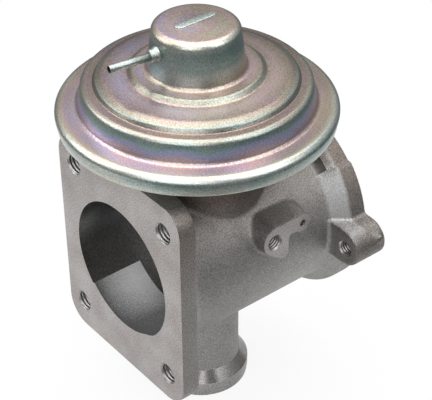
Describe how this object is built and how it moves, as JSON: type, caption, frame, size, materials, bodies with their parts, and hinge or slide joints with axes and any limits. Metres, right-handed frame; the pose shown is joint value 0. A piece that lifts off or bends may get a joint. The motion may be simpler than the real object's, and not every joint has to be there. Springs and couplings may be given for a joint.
{
  "type": "egr valve",
  "caption": "Vacuum-operated exhaust gas recirculation valve: cast duct with square intake flange, exhaust port below, and a sprung diaphragm capsule that lifts the poppet.",
  "frame": {"origin": "centre of the flange's bolt pattern, on the flange face", "axes": "+Y runs along the intake duct away from the flange face, +Z along the valve stem towards the vacuum cap, +X towards the side with the threaded boss and lug"},
  "size_m": [0.0942, 0.0942, 0.1465],
  "materials": {
    "cast_aluminium": "shot-blasted sand casting with machined faces",
    "plated_steel": "zinc plated, iridescent clear passivation",
    "bright_steel": "turned or pressed",
    "spring_steel": "phosphated wire",
    "black_rubber": "moulded",
    "bush_bronze": "sintered",
    "gasket_sheet": "pressed sheet"
  },
  "bodies": {
    "housing": {"valve_body": "cast_aluminium", "port_seat_ring": "bright_steel", "guide_bush": "bush_bronze", "stem_seal": "black_rubber", "seal_retainer": "bright_steel", "capsule_gasket": "gasket_sheet", "lower_capsule_shell": "plated_steel", "capsule_screws": "bright_steel", "upper_capsule_shell": "plated_steel", "vacuum_nipple": "plated_steel", "nipple_collar": "plated_steel", "spring_seat": "bright_steel", "diaphragm": "black_rubber", "return_spring": "spring_steel"},
    "valve": {"valve_stem": "bright_steel", "valve_poppet": "bright_steel", "soot_cup": "bright_steel", "diaphragm_plate": "bright_steel", "spring_cup": "bright_steel", "clamp_washer": "bright_steel", "stem_nut": "bright_steel"}
  },
  "joints": [
    {"name": "valve_lift", "type": "slide", "parent": "housing", "child": "valve", "axis": [0, 0, 1], "range_m": [0, 0.006], "stiffness_N_per_m": 6000, "springref_m": -0.012, "deforming": ["return_spring", "diaphragm"]}
  ]
}
